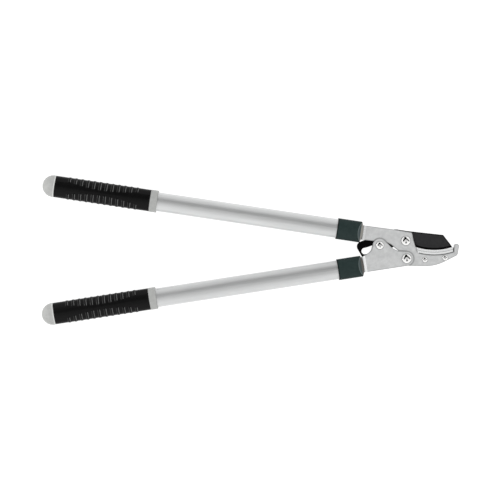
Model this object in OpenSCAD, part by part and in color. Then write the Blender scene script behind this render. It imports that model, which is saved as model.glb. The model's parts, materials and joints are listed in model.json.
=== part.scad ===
// Anvil lopper with a compound lever action, shown closed and lying flat. Millimetres.
// The origin is on the blade pivot's axis, on the underside of its nut.
// +X points to the cutting head, +Y to the anvil handle's side, +Z up from the rest face.

/* [Handles] */
// Length of the anvil handle from the tip of its cap to the shoulders of its collar
upper_length = 538; // [400:1:700]
// Length of the lever handle from the tip of its cap to the shoulders of its collar
lower_length = 541; // [400:1:700]
// Slope of the anvil handle's axis, degrees
upper_angle = 8.5; // [4:0.1:14]
// Slope of the lever handle's axis, degrees
lower_angle = 8.8; // [4:0.1:14]
// Front of the anvil handle's collar behind the blade pivot
upper_front_x = 75.8; // [72:0.1:90]
// Front of the anvil handle's collar above the blade pivot
upper_front_y = 14.7; // [12:0.1:17]
// Front of the lever handle's collar behind the blade pivot
lower_front_x = 74.4; // [71:0.1:90]
// Front of the lever handle's collar below the blade pivot
lower_front_y = 42.4; // [40:0.1:45]

/* [Tube] */
// Width of the oval tube
tube_w = 31.6; // [29:0.1:33]
// Height of the oval tube
tube_h = 22; // [20:0.1:24]
// Wall of the tube
tube_wall = 1.6; // [1.2:0.1:2.2]
// Radius of the tube's four corners
tube_corner = 7.4; // [6:0.1:8]
// Crown of the tube's broad sides above its corners
tube_crown = 2.2; // [1:0.1:2.4]
// How far the tube ends behind the collar's shoulders
tube_set_back = 8; // [7:0.1:12]

/* [Grip] */
// Width over the end cap and the ring
grip_w = 37; // [35.5:0.1:42]
// Height over the end cap and the ring
grip_h = 27; // [25:0.1:31]
// Radius of the grip's four corners
grip_corner = 9.6; // [8:0.1:10.5]
// Crown of the grip's broad sides above its corners
grip_crown = 2.2; // [1:0.1:2.4]
// Length of the ribbed sleeve
sleeve_length = 161; // [140:1:200]
// Length of the ring in front of the sleeve
ring_length = 12; // [6:0.5:20]
// Length of the domed cap
cap_length = 21.5; // [19.5:0.5:30]
// Straight stretch of the cap before its dome
cap_straight = 2.5; // [1:0.5:6]
// How deep the smooth sleeve lies under the cap's surface
sleeve_recess = 0.4; // [0.2:0.1:0.8]
// Ribs in one row
rib_count = 12; // [6:1:13]
// Distance from rib to rib
rib_pitch = 10.35; // [8:0.05:11]
// Width of a rib
rib_width = 3; // [2:0.1:5]
// Height of a rib over the smooth sleeve
rib_height = 0.7; // [0.4:0.1:1]
// Half width of the smooth panel at its waist
panel_waist = 4.6; // [4.4:0.1:8]
// Radius of the curve that bounds the smooth panel
panel_curve = 275; // [220:5:400]
// Length of the cap's spigot in the tube
spigot_length = 22; // [12:1:40]
// Wall of the cap's spigot
spigot_wall = 2.4; // [1.5:0.1:4]

/* [Collar] */
// Width of the collar
collar_w = 35; // [34.4:0.1:40]
// Height of the collar
collar_h = 25.5; // [25:0.1:26.5]
// Length of the collar behind its shoulders
collar_length = 39.6; // [36:0.1:60]
// Radius of the collar's four corners
collar_corner = 6; // [4:0.1:8]
// Crown of the collar's broad sides above its corners
collar_crown = 1.7; // [0.8:0.1:3]
// How far the collar's nose bows out past its shoulders
nose_bulge = 4.3; // [2:0.1:6]
// Where the nose's sloped facets start behind the shoulders
facet_start = 4.5; // [3:0.1:5.5]
// Slope of the nose's facets, degrees
facet_angle = 33; // [28:1:36]
// Slope of the lip in front of the facets, degrees
lip_angle = 40; // [34:1:42]

/* [Tang] */
// Width of a plate's tang in the tube
tang_w = 20.5; // [16:0.1:20.5]
// Length of a tang behind the shoulders
tang_length = 46; // [40:0.5:60]
// Length of the plug that holds the tangs in the tube
plug_length = 48; // [42:0.5:70]
// Diameter of a tang rivet
rivet_d = 5; // [3:0.1:6]
// First rivet behind the collar's shoulders
rivet_first = 16; // [14:0.5:18]
// Distance between the two rivets
rivet_spacing = 15; // [10:0.5:18]
// How deep a rivet's ends lie under the tube's crown
rivet_set_back = 0.3; // [0.2:0.1:0.6]

/* [Plates] */
// Shoulder of the jaw plate above the anvil handle's axis
jaw_shoulder_up = 11.7; // [10.6:0.1:13]
// Shoulder of the jaw plate below the anvil handle's axis
jaw_shoulder_down = 12.4; // [10.6:0.1:14]
// Shoulder of the lever plate above the lever handle's axis
lever_shoulder_up = 14.3; // [10.6:0.1:15]
// Shoulder of the lever plate below the lever handle's axis
lever_shoulder_down = 11; // [10.6:0.1:12]
// Thickness of the steel plates
plate_t = 2.2; // [1.8:0.1:2.6]
// Thickness of the blade
blade_t = 3.5; // [2.5:0.1:4]
// Thickness of the washers between moving plates
washer_t = 0.4; // [0.3:0.1:0.6]
// Length of the joggle between a plate's tang and its flat
joggle_length = 4; // [2:0.1:6]

/* [Pivots] */
// Lever pivot ahead of the blade pivot
lever_pivot_x = 1.2; // [0:0.1:3]
// Lever pivot below the blade pivot
lever_pivot_y = 29.8; // [29:0.1:31]
// Drive bolt behind the blade pivot
drive_x = 43.7; // [42.5:0.1:45]
// Drive bolt below the blade pivot
drive_y = 7.7; // [7.2:0.1:8.4]
// Diameter of the two pivot bolts
pivot_d = 8; // [6:0.1:9]
// Diameter of the drive bolt
drive_d = 6; // [4:0.1:6.5]
// Diameter of the drive bush
bush_d = 10; // [9:0.1:10.4]
// Diameter of the blade pivot bolt's head
blade_head_d = 14.7; // [13:0.1:16]
// Diameter of the lever pivot bolt's head
lever_head_d = 15; // [13:0.1:17]
// Diameter of the drive bolt's head
drive_head_d = 12.4; // [10:0.1:13]
// Height of the domed heads
head_h = 3; // [2:0.1:4]
// Diameter of the centre mark in a bolt's head
mark_d = 2.6; // [1.5:0.1:3.5]
// Width across flats of the pivot nuts
pivot_nut_w = 13; // [12:0.1:15]
// Width across flats of the drive nut
drive_nut_w = 10; // [9:0.1:12]
// Thickness of the washers under the nuts
seat_washer_t = 1.2; // [0.8:0.1:1.6]
// Diameter of the washers at the pivots
pivot_washer_d = 16; // [14:0.5:17]
// Diameter of the washer under the drive nut
drive_washer_d = 12; // [10:0.5:13]
// Diameter of the sleeve between the jaw plates at the lever pivot
spacer_d = 13; // [11:0.5:14]

/* [Blade] */
// Reach of the blade's tip from its pivot
blade_reach = 78.4; // [70:0.1:90]
// Drop of the cutting edge's two ends below the pivot
edge_drop = 10.4; // [9:0.1:12]
// Where the cutting edge starts ahead of the pivot
edge_heel = 16.7; // [15.5:0.1:18]
// Belly of the cutting edge below its two ends
edge_belly = 5; // [3:0.1:7]
// Width of the ground bevel along the cutting edge
bevel_w = 7; // [4:0.1:9]
// Thickness left at the cutting edge
edge_t = 0.4; // [0.2:0.1:0.8]
// Run of the slanted nose behind the tip
nose_run = 15.6; // [12:0.1:20]
// Height of the spine's front corner above the pivot
spine_front = 9.8; // [8:0.1:12]

/* [Anvil] */
// Height of the anvil's top above the jaw's edge
anvil_h = 8.3; // [6:0.1:10]
// Gap between the anvil's flange and the jaw's edge
seat_gap = 1; // [0.3:0.1:1.5]
// Depth of the step along the middle of the strip
anvil_step = 0.5; // [0.3:0.1:1]
// Gap between the closed cutting edge and the anvil
edge_gap = 0.3; // [0.2:0.05:0.6]
// Gap between the anvil's front end and the hook
hook_gap = 1.6; // [0.6:0.1:3]
// Gap between the blade's tip and the hook
tip_gap = 3; // [2:0.1:5]
// Width of the hook at its top
hook_w = 8.2; // [6:0.1:10]
// How far the hook's top stands above the ends of the cutting edge
hook_rise = 5.2; // [4:0.1:7]
// Where the jaw's seat starts ahead of the cutting edge's heel
seat_lead = 3.6; // [2:0.1:5]
// Where the jaw's seat ends ahead of the blade's tip
seat_run_out = 0.6; // [0.3:0.1:1.2]
// How far the anvil's stem reaches behind the hook
stem_lap = 1; // [0.5:0.1:2]
// Diameter of an anvil screw
screw_d = 4; // [3:0.1:5]
// Diameter of an anvil screw's head
screw_head_d = 8.4; // [7:0.1:10]
// Height of an anvil screw's head
screw_head_h = 2; // [1.4:0.1:3]
// Diameter of the centre mark in an anvil screw's head
screw_mark_d = 1.6; // [1:0.1:2.2]
// Width across flats of an anvil nut
screw_nut_w = 7; // [6.5:0.1:9]
// Height of an anvil nut
screw_nut_h = 3.2; // [2.5:0.1:4]
// Rear anvil screw ahead of the cutting edge's heel
rear_screw_lead = 15.3; // [13:0.1:19]
// Rear anvil screw below the blade pivot
rear_screw_y = 31.8; // [30:0.1:33]
// Front anvil screw behind the blade's tip
front_screw_back = 12.7; // [11.5:0.1:18]
// Front anvil screw below the blade pivot
front_screw_y = 28.5; // [27.5:0.1:29.5]

/* [Motion] */
// Swing of the lever handle from closed to open, degrees
lever_swing = 60; // [40:1:62]
// Turn of the blade for one degree of the lever
blade_ratio = 0.68; // [0.66:0.01:0.7]

/* [Fits] */
// Radial clearance of a running fit
run_fit = 0.05; // [0.02:0.01:0.1]
// Clearance between pieces that are fixed together
seat_fit = 0.08; // [0.04:0.01:0.2]
// Clearance of the drive bush in the cam slot
slot_fit = 0.4; // [0.3:0.05:0.6]
// Gap between a plate's shoulders and the collar's nose
shoulder_gap = 0.3; // [0.2:0.1:0.6]

/* [Hidden] */
$fn = 64;

// Overshoot that lets a cut run clean through a face
cut = 1;
// Reach of a cutting block that clears the whole head
far = 400;

// Heights of the layers, counted from the middle of the blade
mid_z = grip_h / 2;
jaw_in = blade_t / 2 + washer_t;
jaw_out = jaw_in + plate_t;
lever_in = jaw_out + washer_t;
lever_out = lever_in + plate_t;
tang_in = (jaw_in + lever_in) / 2;

// Places of the pivots, drive bolt and anvil screws in plan
blade_pivot = [0, 0];
lever_pivot = [lever_pivot_x, -lever_pivot_y];
drive_pin = [-drive_x, -drive_y];
rear_screw = [edge_heel + rear_screw_lead, -rear_screw_y];
front_screw = [blade_reach - front_screw_back, -front_screw_y];
screws = [rear_screw, front_screw];

// The cutting edge is an arc from heel to tip with the given belly
edge_half = (blade_reach - edge_heel) / 2;
edge_r = (edge_half ^ 2 + edge_belly ^ 2) / (2 * edge_belly);
edge_centre = [(blade_reach + edge_heel) / 2, edge_r - edge_drop - edge_belly];
anvil_r = edge_r + edge_gap;
seat_r = anvil_r + anvil_h;
step_r = anvil_r + (anvil_h - seat_gap) / 2;

// The collar's nose is an arc through its shoulders
nose_r = ((collar_w / 2) ^ 2 + nose_bulge ^ 2) / (2 * nose_bulge);
nose_centre = nose_bulge - nose_r;

// Plan of a handle, counted back from the shoulders of its collar
function cap_base(length) = cap_length - length;
function sleeve_front(length) = cap_base(length) + sleeve_length;
sleeve_w = grip_w - 2 * sleeve_recess;
sleeve_h = grip_h - 2 * sleeve_recess;
sleeve_corner = grip_corner - sleeve_recess;

function unit(v) = v / norm(v);
function flat(p) = [p[0], p[1]];
function sharp(p) = [p[0], p[1], 0];
function turn(p, centre, angle) =
    centre + [[cos(angle), -sin(angle)], [sin(angle), cos(angle)]] * (p - centre);

// Points of one rounded corner q between its neighbours p and s
function corner_arc(p, q, s, r, steps) =
    let (
        u = unit(p - q),
        v = unit(s - q),
        half = acos(u * v) / 2,
        start = q + u * r / tan(half),
        centre = q + unit(u + v) * r / sin(half),
        side = cross(u, v) > 0 ? -1 : 1
    )
    [for (i = [0 : steps]) turn(start, centre, side * (180 - 2 * half) * i / steps)];

// Outline through corners given as [x, y, fillet radius]
function rounded(corners, steps = 8) =
    let (n = len(corners))
    [for (i = [0 : n - 1])
        let (q = corners[i], p = corners[(i + n - 1) % n], s = corners[(i + 1) % n])
        each q[2] > 0 ? corner_arc(flat(p), flat(q), flat(s), q[2], steps) : [flat(q)]];

// Points of an arc, from one angle to another
function arc(centre, r, from, to, steps) =
    [for (i = [0 : steps])
        let (angle = from + i * (to - from) / steps)
        centre + r * [cos(angle), sin(angle)]];

// Points of a round lobe in a list of corners
lobe_steps = 16;
function lobe(centre, r, from, to) = [for (p = arc(centre, r, from, to, lobe_steps)) sharp(p)];

// Points of a handle's frame seen in plan
function upper_point(p) = [-upper_front_x, upper_front_y] + turn(p, [0, 0], -upper_angle);
function lower_point(p) = [-lower_front_x, -lower_front_y] + turn(p, [0, 0], lower_angle);

// Point where a plate's edge meets the gap in front of the collar's nose
function shoulder(v) = [nose_centre + sqrt((nose_r + shoulder_gap) ^ 2 - v ^ 2), v];

// Corners of a tang, from one shoulder of its plate round to the other, in the handle's frame
function tang_corners(down, up) = [
    shoulder(-down), shoulder(-tang_w / 2), [-tang_length, -tang_w / 2],
    [-tang_length, tang_w / 2], shoulder(tang_w / 2), shoulder(up)
];

// Point on an arc about the cutting edge's centre, at a given x
function edge_point(x, r) = [x, edge_centre[1] - sqrt(r ^ 2 - (x - edge_centre[0]) ^ 2)];

// Path of the drive bush, seen from the turning blade
function pin_in_blade(swing) =
    turn(turn(drive_pin, lever_pivot, swing), blade_pivot, -blade_ratio * swing);
slot_run_over = 1;
slot_steps = 14;
slot_r = bush_d / 2 + slot_fit;
slot_path = [for (i = [0 : slot_steps])
    pin_in_blade(-slot_run_over + i * (lever_swing + 2 * slot_run_over) / slot_steps)];
function heading(path, i) =
    let (d = path[min(i + 1, len(path) - 1)] - path[max(i - 1, 0)])
    atan2(d[1], d[0]);
function beside(path, i, offset) =
    let (across = heading(path, i) + 90)
    path[i] + offset * [cos(across), sin(across)];

// Oval with four round corners and crowned broad sides, all tangent
corner_steps = 7;
crown_steps = 6;
module crowned(w, h, corner, crown) {
    across = w / 2 - corner;
    level = h / 2 - corner - crown;
    crown_r = corner + (across ^ 2 + crown ^ 2) / (2 * crown);
    crown_y = h / 2 - crown_r;
    touch = atan2(level - crown_y, across);
    crown_turn = (180 - 2 * touch) / crown_steps;
    upper_half = concat(
        arc([across, level], corner, 0, touch, corner_steps),
        arc([0, crown_y], crown_r, touch + crown_turn, 180 - touch - crown_turn, crown_steps - 2),
        arc([-across, level], corner, 180 - touch, 180, corner_steps)
    );
    polygon(concat(upper_half, -upper_half));
}

module tube_section(grow = 0)
    crowned(tube_w + 2 * grow, tube_h + 2 * grow, tube_corner + grow, tube_crown);

module sleeve_section(grow = 0)
    crowned(sleeve_w + 2 * grow, sleeve_h + 2 * grow, sleeve_corner + grow, grip_crown);

// Places a handle's own frame: u along its axis to the head, v across, w up
module on_upper()
    translate([-upper_front_x, upper_front_y, mid_z])
        rotate([0, 0, -upper_angle])
            children();

module on_lower()
    translate([-lower_front_x, -lower_front_y, mid_z])
        rotate([0, 0, lower_angle])
            children();

// Runs a section along a handle's axis
module along(start, length)
    translate([start, 0, 0])
        rotate([90, 0, 90])
            linear_extrude(length)
                children();

// Runs a side outline, drawn in u and w, across a handle
module across_handle(width)
    rotate([90, 0, 0])
        linear_extrude(width, center = true)
            children();

module rivet_places()
    for (i = [0, 1])
        translate([-rivet_first - i * rivet_spacing, 0, 0])
            children();

module tube_body(length) {
    tube_length = -tube_set_back - cap_base(length);
    difference() {
        along(cap_base(length), tube_length)
            tube_section();
        along(cap_base(length) - cut, tube_length + 2 * cut)
            tube_section(-tube_wall);
        rivet_places()
            cylinder(d = rivet_d + 2 * seat_fit, h = 2 * tube_h, center = true);
    }
}

// Domed cap: slices of the grip's section that shrink along a quarter ellipse, and a hollow spigot
slice_t = 0.01;
dome_angles = [18 : 17 : 86];
module cap_body(length) {
    base = cap_base(length);
    dome_length = cap_length - cap_straight;
    hull() {
        along(base - cap_straight, cap_straight)
            crowned(grip_w, grip_h, grip_corner, grip_crown);
        for (angle = dome_angles)
            along(base - cap_straight - dome_length * sin(angle), slice_t)
                scale(cos(angle))
                    crowned(grip_w, grip_h, grip_corner, grip_crown);
        along(-length, slice_t)
            circle(d = 1, $fn = 16);
    }
    difference() {
        along(base, spigot_length)
            tube_section(-tube_wall - seat_fit);
        along(base + spigot_wall, spigot_length)
            tube_section(-tube_wall - seat_fit - spigot_wall);
    }
}

// Two rows of cross ribs, counted from the sleeve's middle, with a waisted smooth panel between them
module ribs(middle)
    intersection() {
        for (i = [0 : rib_count - 1])
            along(middle + (i - (rib_count - 1) / 2) * rib_pitch - rib_width / 2, rib_width)
                sleeve_section(rib_height);
        for (side = [-1, 1])
            translate([middle, side * (panel_waist + panel_curve), 0])
                cylinder(r = panel_curve, h = 2 * grip_h, center = true, $fn = 180);
    }

module sleeve_body(length) {
    base = cap_base(length);
    difference() {
        union() {
            along(base, sleeve_length)
                sleeve_section();
            ribs(base + sleeve_length / 2);
        }
        along(base - cut, sleeve_length + 2 * cut)
            tube_section(seat_fit);
    }
}

module ring_body(length)
    difference() {
        along(sleeve_front(length), ring_length)
            crowned(grip_w, grip_h, grip_corner, grip_crown);
        along(sleeve_front(length) - cut, ring_length + 2 * cut)
            tube_section(seat_fit);
    }

// Slots for the two tangs, in the handle's frame
module tang_slots(start, length)
    for (side = [-1, 1])
        translate([start, -tang_w / 2 - seat_fit, side * (tang_in + plate_t / 2) - plate_t / 2 - seat_fit])
            cube([length, tang_w + 2 * seat_fit, plate_t + 2 * seat_fit]);

module collar_body() {
    facet_drop = facet_start * tan(facet_angle);
    lip_reach = nose_bulge + cut;
    difference() {
        intersection() {
            along(-collar_length, collar_length + nose_bulge)
                crowned(collar_w, collar_h, collar_corner, collar_crown);
            translate([nose_centre, 0, 0])
                cylinder(r = nose_r, h = 2 * collar_h, center = true, $fn = 180);
        }
        along(-collar_length - cut, collar_length + cut - tube_set_back + seat_fit)
            tube_section(seat_fit);
        tang_slots(-collar_length, collar_length + nose_bulge + cut);
        for (side = [0, 1])
            mirror([0, 0, side])
                translate([-facet_start, 0, collar_h / 2])
                    across_handle(2 * collar_w)
                        polygon([
                            [0, 0],
                            [facet_start, -facet_drop],
                            [facet_start + lip_reach, -facet_drop - lip_reach * tan(lip_angle)],
                            [facet_start + lip_reach, collar_h],
                            [0, collar_h]
                        ]);
    }
}

module plug_body()
    difference() {
        along(-tube_set_back - plug_length, plug_length)
            tube_section(-tube_wall - seat_fit);
        tang_slots(-tang_length - cut, tang_length);
        rivet_places()
            cylinder(d = rivet_d + 2 * seat_fit, h = 2 * tube_h, center = true);
    }

module rivets_body()
    rivet_places()
        cylinder(d = rivet_d, h = tube_h - 2 * rivet_set_back, center = true);

module rivet_plan()
    rivet_places()
        circle(d = rivet_d + 2 * seat_fit);

module upper_plan()
    translate([-upper_front_x, upper_front_y])
        rotate(-upper_angle)
            children();

module lower_plan()
    translate([-lower_front_x, -lower_front_y])
        rotate(lower_angle)
            children();

// Bent strip that gives a plate its tang level, its joggle and its flat
module joggled_strip(flat_in) {
    bend_start = nose_bulge + shoulder_gap;
    bend_end = bend_start + joggle_length;
    across_handle(far)
        polygon([
            [-far, tang_in], [bend_start, tang_in], [bend_end, flat_in], [far, flat_in],
            [far, flat_in + plate_t], [bend_end, flat_in + plate_t],
            [bend_start, tang_in + plate_t], [-far, tang_in + plate_t]
        ]);
}

// Outline of the anvil jaw: tang, top edge, mouth, hook, belly, lever lobe, dart and lower edge
jaw_lobe_r = 11;
mouth_start = edge_heel + seat_lead;
mouth_end = blade_reach + seat_run_out;
mouth_steps = 12;
hook_in = blade_reach + tip_gap;
hook_top = edge_drop - hook_rise;
jaw_corners = concat(
    [for (p = tang_corners(jaw_shoulder_down, jaw_shoulder_up)) sharp(upper_point(p))],
    [
        [-22.6, 19.3, 60], [10.4, 13.6, 3], [12.6, 1.3, 40],
        [mouth_start - 1, edge_point(mouth_start, seat_r)[1] + 1, 0]
    ],
    [for (i = [0 : mouth_steps])
        sharp(edge_point(mouth_start + i * (mouth_end - mouth_start) / mouth_steps, seat_r))],
    [
        [hook_in - 0.9, edge_point(mouth_end, seat_r)[1] + 0.8, 1.6],
        [hook_in, -hook_top, 3.6], [hook_in + hook_w, -hook_top, 3.8],
        [hook_in + 5, -23.9, 6], [edge_centre[0] + 1.5, -42.6, 70], [12, -42, 20],
        [lever_pivot_x - jaw_lobe_r, -lever_pivot_y - jaw_lobe_r, jaw_lobe_r - 0.5],
        [-12.4, -16.2, 1.5], [-24.3, -6.2, 20], [-33, -2.2, 8], [-52.8, -0.3, 0]
    ]
);

module jaw_plan()
    difference() {
        polygon(rounded(jaw_corners));
        upper_plan()
            rivet_plan();
        circle(d = pivot_d + 2 * seat_fit);
        translate(lever_pivot)
            circle(d = pivot_d + 2 * run_fit);
        for (place = screws)
            translate(place)
                circle(d = screw_d + 2 * seat_fit);
    }

module jaw_plate()
    intersection() {
        translate([0, 0, mid_z])
            linear_extrude(mid_z)
                jaw_plan();
        on_upper()
            joggled_strip(jaw_in);
    }

// Outline of the lever plate: tang, shoulder, drive lobe, dart, pivot lobe and lower edge
lever_lobe_r = 12;
drive_lobe_r = 11.7;
lever_corners = concat(
    [for (p = tang_corners(lever_shoulder_down, lever_shoulder_up)) sharp(lower_point(p))],
    [
        [-63.7, -21.7, 10], [-57.4, -16.4, 10]
    ],
    lobe(drive_pin, drive_lobe_r, 180, 58),
    [
        [-30.8, -4.2, 0.8], [-23, -12.3, 25], [-13, -17.1, 8]
    ],
    lobe(lever_pivot, lever_lobe_r, 90, -81)
);

module lever_plan()
    difference() {
        polygon(rounded(lever_corners));
        lower_plan()
            rivet_plan();
        translate(lever_pivot)
            circle(d = pivot_d + 2 * seat_fit);
        translate(drive_pin)
            circle(d = drive_d + 2 * seat_fit);
    }

module lever_plate()
    intersection() {
        translate([0, 0, mid_z])
            linear_extrude(mid_z)
                lever_plan();
        on_lower()
            joggled_strip(lever_in);
    }

// Mirrors a front piece to the back of the blade
module behind()
    translate([0, 0, mid_z])
        mirror([0, 0, 1])
            translate([0, 0, -mid_z])
                children();

// Outline of the blade: cutting edge, nose, spine, hooked tail and pivot boss
edge_steps = 20;
blade_corners = concat(
    [for (i = [0 : edge_steps]) sharp(edge_point(edge_heel + i * 2 * edge_half / edge_steps, edge_r))],
    [
        [blade_reach - nose_run, spine_front, 2], [2.5, 16.4, 40], [-20.9, 20.1, 30],
        [-85.3, -5.2, 8.4], [-71, -29.9, 2.5], [-50, -19.7, 10], [-30, -16.3, 4], [-18.6, -8.9, 1.5],
        [-9, -16.8, 10], [9, -16.8, 8]
    ]
);

module cam_slot() {
    last = len(slot_path) - 1;
    rear = heading(slot_path, 0);
    front = heading(slot_path, last);
    polygon(concat(
        [for (i = [1 : last - 1]) beside(slot_path, i, slot_r)],
        arc(slot_path[last], slot_r, front + 90, front - 90, lobe_steps),
        [for (i = [last - 1 : -1 : 1]) beside(slot_path, i, -slot_r)],
        arc(slot_path[0], slot_r, rear - 90, rear - 270, lobe_steps)
    ));
}

module blade_plan()
    difference() {
        polygon(rounded(blade_corners));
        cam_slot();
        circle(d = pivot_d + 2 * run_fit);
    }

// Wedge-shaped ring that grinds the bevel along the cutting edge
bevel_slope = (blade_t - edge_t) / 2 / bevel_w;
module edge_grind()
    intersection() {
        translate(edge_centre)
            rotate_extrude($fn = 180)
                polygon([
                    [edge_r - bevel_w - cut, blade_t / 2 + cut * bevel_slope],
                    [edge_r + cut, edge_t / 2 - cut * bevel_slope],
                    [edge_r + cut, blade_t],
                    [edge_r - bevel_w - cut, blade_t]
                ]);
        translate([edge_heel - 2 * cut, -edge_drop - 2 * edge_belly - bevel_w, -cut])
            cube([blade_reach, 2 * edge_belly + 2 * bevel_w, blade_t + 2 * cut]);
    }

// Anvil strip: a T in section, its flange over the jaw plates' edges and its stem between them
module anvil_band(inner, outer)
    intersection() {
        difference() {
            translate(edge_centre)
                circle(outer, $fn = 180);
            translate(edge_centre)
                circle(inner, $fn = 180);
        }
        polygon([
            [edge_heel + 0.6, -edge_drop + 1.6], [blade_reach + 0.4, -edge_drop + 1.6],
            [hook_in - hook_gap, -edge_drop - 2], [mouth_end, -edge_drop - edge_belly - anvil_h],
            [mouth_start, -edge_drop - edge_belly - anvil_h],
            [mouth_start, edge_point(mouth_start, seat_r)[1]]
        ]);
    }

stem_front = hook_in + stem_lap;
stem_corners = [
    [mouth_start + 2, -edge_drop - edge_belly, 0], [mouth_end - 3, -edge_drop - edge_belly, 0],
    [mouth_end - 3, -edge_drop, 0], [stem_front, -edge_drop, 0], [stem_front, -24, 3],
    [front_screw[0] + 1, front_screw[1] - 4.5, 6],
    [rear_screw[0] + 2, rear_screw[1] - 5, 12], [mouth_start + 2, rear_screw[1] - 5, 3]
];

module anvil_plan_stem()
    difference() {
        polygon(rounded(stem_corners));
        translate(edge_centre)
            circle(step_r, $fn = 180);
        for (place = screws)
            translate(place)
                circle(d = screw_d + 2 * seat_fit);
    }

// Domed head with a conical centre mark, seated at z = 0
mark_slope = 0.6;
module domed_head(d, h, centre_d) {
    dome_r = ((d / 2) ^ 2 + h ^ 2) / (2 * h);
    mark_h = mark_slope * centre_d / 2;
    difference() {
        intersection() {
            translate([0, 0, h - dome_r])
                sphere(dome_r);
            cylinder(d = d, h = h + cut);
        }
        translate([0, 0, h - mark_h])
            cylinder(d1 = 0, d2 = 2 * centre_d, h = 2 * mark_h);
    }
}

// Closed hexagon nut that hangs below z = 0, with its bolt's end in a blind bore
nut_chamfer = 0.8;
nut_floor = 1;
bolt_end_gap = 0.5;
module closed_nut(flats, h, bore) {
    bore_depth = h - nut_floor;
    difference() {
        intersection() {
            translate([0, 0, -h])
                cylinder(d = flats / cos(30), h = h, $fn = 6);
            rotate_extrude()
                polygon([
                    [0, -h], [flats / 2 - nut_chamfer / 4, -h],
                    [flats / 2 + nut_chamfer, -h + nut_chamfer],
                    [flats / 2 + nut_chamfer, 0], [0, 0]
                ]);
        }
        translate([0, 0, -bore_depth])
            cylinder(d = bore + 2 * seat_fit, h = bore_depth + cut);
    }
}

module washer(d, bore, t)
    difference() {
        cylinder(d = d, h = t);
        translate([0, 0, -cut])
            cylinder(d = bore, h = t + 2 * cut);
    }

// Bolt with its head on a plate at the given height and its end in the nut at the rest plane
module through_bolt(d, head_d, seat) {
    shank_end = nut_floor + bolt_end_gap;
    translate([0, 0, mid_z + seat])
        domed_head(head_d, head_h, mark_d);
    translate([0, 0, shank_end])
        cylinder(d = d, h = mid_z + seat - shank_end);
}

jaw_nut_h = mid_z - jaw_out - seat_washer_t;
lever_nut_h = mid_z - lever_out - seat_washer_t;

module upper_tube() { color("silver") on_upper() tube_body(upper_length); }
module lower_tube() { color("silver") on_lower() tube_body(lower_length); }
module upper_end_cap() { color("darkgray") on_upper() cap_body(upper_length); }
module lower_end_cap() { color("darkgray") on_lower() cap_body(lower_length); }
module upper_grip_sleeve() { color("#1a1a1a") on_upper() sleeve_body(upper_length); }
module lower_grip_sleeve() { color("#1a1a1a") on_lower() sleeve_body(lower_length); }
module upper_grip_ring() { color("darkgray") on_upper() ring_body(upper_length); }
module lower_grip_ring() { color("darkgray") on_lower() ring_body(lower_length); }
module upper_collar() { color("#303938") on_upper() collar_body(); }
module lower_collar() { color("#303938") on_lower() collar_body(); }
module upper_tang_plug() { color("dimgray") on_upper() plug_body(); }
module lower_tang_plug() { color("dimgray") on_lower() plug_body(); }
module upper_tang_rivets() { color("lightgray") on_upper() rivets_body(); }
module lower_tang_rivets() { color("lightgray") on_lower() rivets_body(); }
module jaw_plate_front() { color("#c3c5c6") jaw_plate(); }
module jaw_plate_back() { color("#c3c5c6") behind() jaw_plate(); }
module lever_plate_front() { color("#c3c5c6") lever_plate(); }
module lever_plate_back() { color("#c3c5c6") behind() lever_plate(); }

module blade()
    color("#323435")
        translate([0, 0, mid_z])
            difference() {
                linear_extrude(blade_t, center = true)
                    blade_plan();
                edge_grind();
                mirror([0, 0, 1])
                    edge_grind();
            }

module anvil_insert()
    color("#d3d4d4")
        translate([0, 0, mid_z]) {
            linear_extrude(2 * (jaw_out - anvil_step), center = true)
                anvil_band(anvil_r, step_r);
            linear_extrude(2 * jaw_out, center = true)
                anvil_band(step_r, seat_r - seat_gap);
            linear_extrude(2 * jaw_in, center = true)
                anvil_plan_stem();
        }

module anvil_screws() {
    shank_end = -jaw_out - screw_nut_h + nut_floor + bolt_end_gap;
    color("silver")
        for (place = screws)
            translate([place[0], place[1], mid_z]) {
                translate([0, 0, jaw_out])
                    domed_head(screw_head_d, screw_head_h, screw_mark_d);
                translate([0, 0, shank_end])
                    cylinder(d = screw_d, h = jaw_out - shank_end);
            }
}

module anvil_nuts()
    color("silver")
        for (place = screws)
            translate([place[0], place[1], mid_z - jaw_out])
                closed_nut(screw_nut_w, screw_nut_h, screw_d);

module blade_pivot_bolt()
    color("silver")
        through_bolt(pivot_d, blade_head_d, jaw_out);

module blade_pivot_nut()
    color("silver")
        translate([0, 0, jaw_nut_h])
            closed_nut(pivot_nut_w, jaw_nut_h, pivot_d);

module blade_washers()
    color("gray")
        for (side = [-1, 1])
            translate([0, 0, mid_z + side * (jaw_in - washer_t / 2) - washer_t / 2])
                washer(pivot_washer_d, pivot_d + 2 * seat_fit, washer_t);

module nut_washers_jaw()
    color("gray")
        translate([0, 0, jaw_nut_h])
            washer(pivot_washer_d, pivot_d + 2 * seat_fit, seat_washer_t);

module lever_pivot_bolt()
    color("silver")
        translate(lever_pivot)
            through_bolt(pivot_d, lever_head_d, lever_out);

module lever_pivot_nut()
    color("silver")
        translate([lever_pivot[0], lever_pivot[1], lever_nut_h])
            closed_nut(pivot_nut_w, lever_nut_h, pivot_d);

module lever_washers()
    color("gray")
        for (side = [-1, 1])
            translate([lever_pivot[0], lever_pivot[1],
                       mid_z + side * (lever_in - washer_t / 2) - washer_t / 2])
                washer(pivot_washer_d, pivot_d + 2 * seat_fit, washer_t);

module lever_pivot_spacer()
    color("gray")
        translate([lever_pivot[0], lever_pivot[1], mid_z - jaw_in])
            washer(spacer_d, pivot_d + 2 * run_fit, 2 * jaw_in);

module drive_bolt()
    color("silver")
        translate(drive_pin)
            through_bolt(drive_d, drive_head_d, lever_out);

module drive_nut()
    color("silver")
        translate([drive_pin[0], drive_pin[1], lever_nut_h])
            closed_nut(drive_nut_w, lever_nut_h, drive_d);

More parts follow.
